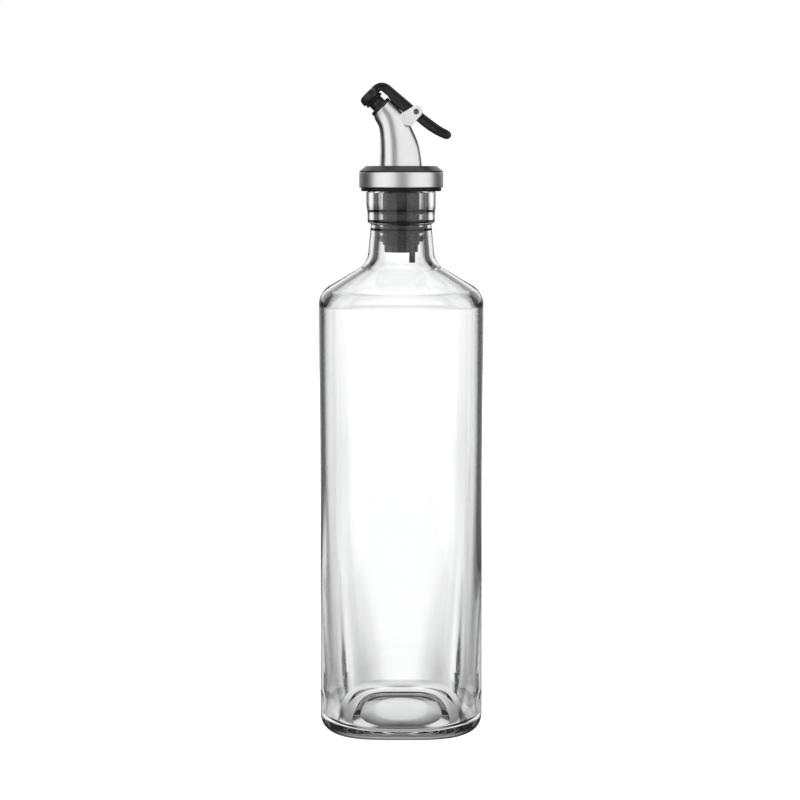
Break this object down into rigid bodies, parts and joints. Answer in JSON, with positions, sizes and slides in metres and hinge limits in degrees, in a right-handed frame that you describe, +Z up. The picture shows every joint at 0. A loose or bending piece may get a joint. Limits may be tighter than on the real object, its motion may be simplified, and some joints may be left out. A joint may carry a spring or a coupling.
{
  "type": "oil bottle",
  "caption": "Square clear glass oil bottle with a push-in stopper, a steel-banded collar, a curved metal spout and a sprung thumb lever that caps the spout.",
  "frame": {"origin": "centre of the base, on the plane that the bottle stands on", "axes": "+Z up the bottle's axis, +X towards the lever's thumb tail, -X the way the spout pours"},
  "size_m": [0.0676, 0.0676, 0.2642],
  "materials": {
    "clear_glass": "clear, smooth moulded glass",
    "brushed_steel": "brushed round the band",
    "spout_metal": "satin, with flat matt ears",
    "black_plastic": "semi-gloss moulded",
    "black_rubber": "soft matt",
    "pin_steel": "dark, turned ends",
    "spring_steel": "drawn wire"
  },
  "bodies": {
    "bottle": {"glass_bottle": "clear_glass"},
    "pourer": {"seal_washer": "black_rubber", "collar_band": "brushed_steel", "collar_cap": "black_plastic", "plug_core": "black_plastic", "stopper_sleeve": "black_rubber", "air_tube": "black_plastic", "spout_shell": "spout_metal", "pour_nozzle": "black_plastic", "hinge_pin": "pin_steel", "return_spring": "spring_steel"},
    "lever": {"lever": "black_plastic", "lever_seal": "black_rubber"}
  },
  "joints": [
    {"name": "pourer_lift", "type": "slide", "parent": "bottle", "child": "pourer", "axis": [0, 0, 1], "range_m": [0, 0.045]},
    {"name": "lever_tilt", "type": "hinge", "parent": "pourer", "child": "lever", "pos_m": [0.00602, 0, 0.25268], "axis": [0, 1, 0], "range_deg": [0, 35], "stiffness_Nm_per_rad": 0.02, "springref_deg": -20.05, "deforming": ["return_spring"]}
  ]
}
